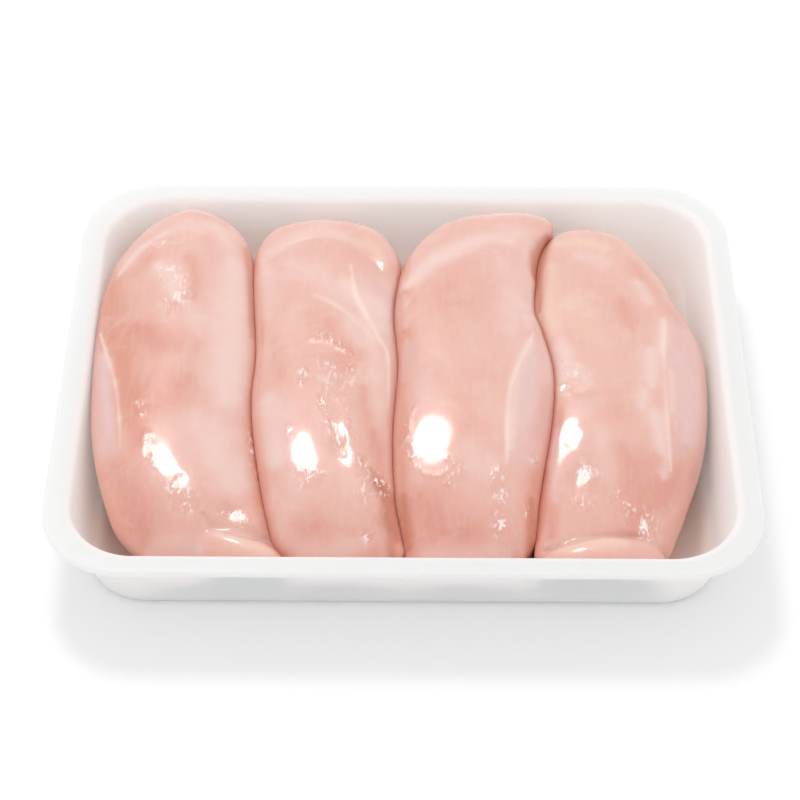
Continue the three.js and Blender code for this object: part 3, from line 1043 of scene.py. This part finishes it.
def shape_move(name, places, normals, props):
    """Moves a fillet's surface by its swellings, tendons, grooves, crinkles and flats."""
    x, y, _ = places.T
    upper = facing_up(normals)
    side = np.clip(1 - np.abs(normals[:, 2]) / 0.5, 0, 1)
    seed = int(name[-1])
    stretched = places * (1.0, 0.6, 1.0)
    swell = sum(
        rise * lattice_noise(places, size, seed + 10 * index)
        for index, (rise, size) in enumerate(SWELLS)
    )
    folds = 1 - np.abs(lattice_noise(stretched, FOLDS[1], seed + 20)) * 2
    wrinkles = lattice_noise(stretched, WRINKLES[1], seed + 30)
    crinkle = FOLDS[0] * folds + WRINKLES[0] * wrinkles
    fine = props.tendon_rise / MM * painted(TENDON[name], x, y) + raised(GROOVE[name], x, y)
    fine += props.crinkle / MM * painted(SPARKLE[name], x, y) * crinkle
    broad = places + normals * (swell * upper + props.side_swell / MM * side)[:, None]
    eased = lay_flat(FLATS[name], broad, upper)
    return pressed_by_tray(eased + normals * (fine * upper)[:, None], GAP)


def store(mesh, name, values):
    """Stores a number for each vertex."""
    mesh.attributes.new(name, "FLOAT", "POINT").data.foreach_set("value", values)


def model_fillet(name, props):
    """Models one fillet from a ball, with its folded tail joined on."""
    fillet = FILLETS[name]
    piece, ball = add_ball(BODY_SEGMENTS, BODY_RINGS)
    piece.name = "raw_" + name
    place_vertices(piece.data, body_places(fillet, ball))
    if fillet["tail"]:
        tail, ball = add_ball(TAIL_SEGMENTS, TAIL_RINGS)
        place_vertices(tail.data, tail_places(fillet, ball))
        select_only(tail, piece)
        bpy.ops.object.join()
    apply_modifier(piece, "REMESH", mode="VOXEL", voxel_size=props.voxel)
    apply_modifier(piece, "SMOOTH", factor=0.5, iterations=3)
    mesh = piece.data
    normals = vertex_normals(mesh)
    upper = facing_up(normals)
    place_vertices(mesh, shape_move(name, vertex_places(mesh), normals, props))
    x, y, z = vertex_places(mesh).T
    for layer, strokes in LAYERS.items():
        store(mesh, layer, painted(strokes[name], x, y) * upper)
    line, side = FACETS[name]
    beside = smoothstep((x - along(line, y)) * side / FACET_EDGE)
    store(mesh, "facet", beside * between_ends(line, y, FACET_FADE))
    # The hollow layer is painted shade: it marks the flesh beside the creases, more weakly by the
    # tray's walls, and only low down
    hollow = np.zeros(len(x))
    for side, way in zip(fillet["sides"], (1, -1)):
        edge = (x - along(side, y)) * way
        share = OUTER_HOLLOW if side in (SIDE_1, SIDE_4) else 1.0
        hollow = np.maximum(hollow, share * smoothstep(1 - edge / CREASE_REACH))
    store(mesh, "hollow", hollow * smoothstep((HOLLOW_TOP - z) / HOLLOW_DEPTH))
    # The deep layer is painted shade in the creases and gaps
    store(mesh, "deep", painted(DEEP_CREASE_SHADE[name], x, y))
    select_only(piece)
    bpy.ops.object.shade_smooth()
    return piece


def colour_property(name, description, default):
    """A colour that a user can change."""
    return bpy.props.FloatVectorProperty(
        name=name, description=description, subtype="COLOR", default=default, min=0, max=1
    )


def length_property(name, description, default):
    """A length that a user can change, with its default in millimetres."""
    return bpy.props.FloatProperty(
        name=name, description=description, unit="LENGTH", default=default * MM, min=0, precision=5
    )


class TrayProperties(bpy.types.PropertyGroup):
    """Sizes and colours of the tray."""

    rim_thickness: length_property("Rim", "Thickness of the flat rim", RIM_THICKNESS)
    rim_edge: length_property("Rim edge", "Radius of the rim's outer edges", RIM_EDGE_RADIUS)
    foot_radius: length_property("Foot radius", "Radius between the base and walls", FOOT_RADIUS)
    foam: colour_property("Foam", "Colour of the foam", (0.705, 0.705, 0.706))
    foam_shade: colour_property("Foam shade", "Colour of the faint flow marks", (0.68, 0.679, 0.676))
    # Painted light: the wall outside is lighter than the rim's foam
    outer_wall_painted_light: colour_property("Outer wall", "Colour of the wall outside", (0.9, 0.9, 0.895))
    # Painted light: lighter than the rim's foam, and pink partly from painted light thrown back by the
    # meat
    wall: colour_property("Inner wall", "Colour of the wall inside", (0.985, 0.895, 0.868))
    # Painted shade: darker pink low on the inner wall
    low_wall_painted_shade: colour_property("Moist wall", "Colour of the wall low inside", (0.99, 0.80, 0.75))
    # Pink-brown floor inside the tray
    pink_inner_floor: colour_property("Wet floor", "Colour of the floor inside", (0.93, 0.68, 0.61))


class FilletProperties(bpy.types.PropertyGroup):
    """Sizes and colours of the fillets."""

    voxel: length_property("Cell", "Size of the remeshed cells", VOXEL)
    side_swell: length_property("Side swell", "How far the sides swell outwards", SIDE_SWELL)
    tendon_rise: length_property("Tendon rise", "How far the tendons stand up", TENDON_RISE)
    crinkle: length_property("Crinkle", "How deep the wet skin is crinkled", CRINKLE)
    flesh: colour_property("Flesh", "Pale pink flesh", (0.785, 0.46, 0.39))
    flesh_rose: colour_property("Rose flesh", "Rosier places in the flesh", (0.765, 0.42, 0.35))
    # Redder flesh, also used as painted shade along the creases
    flesh_flush_and_shade: colour_property("Flushed flesh", "Redder flesh", (0.69, 0.285, 0.20))
    # Painted shade beside the creases
    flesh_hollow_shade: colour_property("Deep flesh", "Flesh beside the creases", (0.745, 0.31, 0.235))
    # Painted shade deep in the creases
    deep_crease_shade: colour_property("Crease", "Dark red flesh deep in the creases", (0.56, 0.17, 0.10))
    # Pale membrane, also used for painted sheen and painted light
    membrane_and_sheen: colour_property("Membrane", "Thin pale membrane", (0.835, 0.60, 0.545))
    cream: colour_property("Cream", "Yellowish fat and folded skin", (0.82, 0.565, 0.455))
    facet: colour_property("Facet", "Faintly purple flesh beside the tendons", (0.765, 0.515, 0.495))
    tendon: colour_property("Tendon", "White tendons and fat", (0.88, 0.70, 0.61))
    # Painted highlight: colour of the painted glints
    painted_glint: colour_property("Glint", "Pale wet flecks on the crinkled skin", (0.97, 0.93, 0.91))


class StageProperties(bpy.types.PropertyGroup):
    """Light and floor."""

    key_width: length_property("Key light's width", "Width of the round key light", 380.0)
    key_power: bpy.props.FloatProperty(
        name="Key light",
        description="Power of the softbox behind on the left",
        subtype="POWER",
        default=5.0,
        min=0,
    )
    fill_power: bpy.props.FloatProperty(
        name="Fill light",
        description="Power of the wide overhead light",
        subtype="POWER",
        default=0.3,
        min=0,
    )
    sky: bpy.props.FloatProperty(
        name="Surroundings",
        description="Strength of the white surroundings",
        default=0.92,
        min=0,
    )


class OBJECT_OT_meat_tray(bpy.types.Operator):
    """Model the foam tray"""

    bl_idname = "object.meat_tray"
    bl_label = "Foam Tray"

    def execute(self, context):
        props = context.scene.meat_tray
        piece = model_tray(props)
        piece.data.materials.append(foam_material(props))
        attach(piece, "root")
        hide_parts("tray")
        return {"FINISHED"}


class OBJECT_OT_raw_fillets(bpy.types.Operator):
    """Model the four chicken breast fillets"""

    bl_idname = "object.raw_fillets"
    bl_label = "Raw Fillets"

    def execute(self, context):
        props = context.scene.raw_fillets
        material = meat_material(props)
        for name in FILLETS:
            piece = model_fillet(name, props)
            piece.data.materials.append(material)
            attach(piece, "root")
            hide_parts(name)
        return {"FINISHED"}


def add_softbox(name, place, target, size, power):
    """Adds a round or oval light that faces a target."""
    light = bpy.data.lights.new(name, "AREA")
    light.shape = "ELLIPSE"
    light.size, light.size_y = size
    light.energy = power
    lamp = bpy.data.objects.new(name, light)
    bpy.context.collection.objects.link(lamp)
    lamp.location = place
    lamp.rotation_euler = (Vector(target) - Vector(place)).to_track_quat("-Z", "Y").to_euler()
    return lamp


def floor_material():
    """Plain white paper that photographs as pure white."""
    recipe = Recipe("white_floor")
    grain = recipe.noise(recipe.position(), 300.0)
    return recipe.finish(
        {
            "Base Color": recipe.mix(grain, (0.97, 0.97, 0.97, 1), (0.95, 0.95, 0.95, 1)),
            "Roughness": 0.9,
            "Specular IOR Level": 0.1,
        }
    )


class OBJECT_OT_tray_stage(bpy.types.Operator):
    """Set up the floor, the lights and the camera"""

    bl_idname = "object.tray_stage"
    bl_label = "Stage"

    def execute(self, context):
        props = context.scene.tray_stage
        clear_selection()
        bpy.ops.mesh.primitive_plane_add(size=12.0, location=(0, 0, -0.0002))
        floor = context.object
        floor.name = "stage_floor"
        floor.data.materials.append(floor_material())
        world = bpy.data.worlds.new("surroundings")
        world.use_nodes = True
        world.node_tree.nodes["Background"].inputs["Color"].default_value = (1, 1, 1, 1)
        world.node_tree.nodes["Background"].inputs["Strength"].default_value = props.sky
        context.scene.world = world
        add_softbox("key_softbox", KEY_PLACE, (0, 0, 0.03), (props.key_width,) * 2, props.key_power)
        add_softbox("overhead_softbox", (0.0, 0.3, 1.5), (0, 0, 0), (1.4, 1.0), props.fill_power)
        camera_data = bpy.data.cameras.new("photo_camera")
        camera_data.lens = CAMERA_LENS
        camera_data.sensor_width = SENSOR_WIDTH
        camera = bpy.data.objects.new("photo_camera", camera_data)
        context.collection.objects.link(camera)
        camera.location = CAMERA_PLACE
        camera.rotation_euler = Vector(CAMERA_BACK).to_track_quat("Z", "Y").to_euler()
        context.scene.camera = camera
        context.scene.view_settings.view_transform = "Standard"
        context.scene.view_settings.look = "None"
        return {"FINISHED"}


class VIEW3D_PT_meat_tray(bpy.types.Panel):
    """Sidebar panel of the tray pack"""

    bl_label = "Meat Tray Pack"
    bl_idname = "VIEW3D_PT_meat_tray"
    bl_space_type = "VIEW_3D"
    bl_region_type = "UI"
    bl_category = "Meat Tray"

    def draw(self, context):
        layout = self.layout
        for operator, group in STEPS:
            layout.operator(operator.bl_idname)
            props = getattr(context.scene, group)
            for name in props.__annotations__:
                layout.prop(props, name)


STEPS = (
    (OBJECT_OT_meat_tray, "meat_tray"),
    (OBJECT_OT_raw_fillets, "raw_fillets"),
    (OBJECT_OT_tray_stage, "tray_stage"),
)
GROUPS = (
    ("meat_tray", TrayProperties),
    ("raw_fillets", FilletProperties),
    ("tray_stage", StageProperties),
)


def register():
    for name, group in GROUPS:
        bpy.utils.register_class(group)
        setattr(bpy.types.Scene, name, bpy.props.PointerProperty(type=group))
    for operator, _ in STEPS:
        bpy.utils.register_class(operator)
    bpy.utils.register_class(VIEW3D_PT_meat_tray)


def unregister():
    bpy.utils.unregister_class(VIEW3D_PT_meat_tray)
    for operator, _ in reversed(STEPS):
        bpy.utils.unregister_class(operator)
    for name, group in reversed(GROUPS):
        delattr(bpy.types.Scene, name)
        bpy.utils.unregister_class(group)


def main():
    """Builds the scene step by step."""
    register()
    clear_selection()
    bpy.ops.object.meat_tray()
    bpy.ops.object.raw_fillets()
    bpy.ops.object.tray_stage()


if __name__ == "__main__":
    main()
